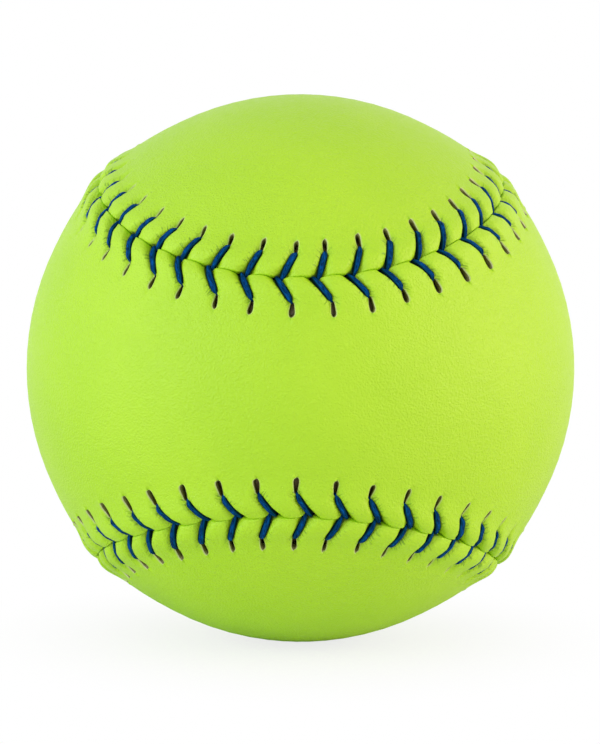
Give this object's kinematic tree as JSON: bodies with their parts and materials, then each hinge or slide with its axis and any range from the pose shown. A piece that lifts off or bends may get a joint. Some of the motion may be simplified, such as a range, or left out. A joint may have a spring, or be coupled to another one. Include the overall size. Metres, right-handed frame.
{
  "type": "softball",
  "caption": "Optic yellow softball: moulded core under cement and waisted cover panels, sewn edge to edge with a raised herringbone seam in blue waxed thread.",
  "frame": {"origin": "centre of the ball", "axes": "-Y through the middle of the front panel's waist, +Y through the middle of the rear panel's waist; the front panel's lobes lie to -X and +X, the rear panel's to -Z (down) and +Z (up)"},
  "size_m": [0.0966, 0.097, 0.0966],
  "materials": {
    "core": "matt moulded polyurethane",
    "cement": "dried contact cement",
    "cover": "optic yellow pebbled synthetic leather, semi-matt",
    "thread": "royal blue waxed thread"
  },
  "bodies": {
    "root": {"core": "core", "cement_layer": "cement", "front_cover_panel": "cover", "rear_cover_panel": "cover", "first_thread": "thread", "second_thread": "thread"}
  },
  "joints": []
}
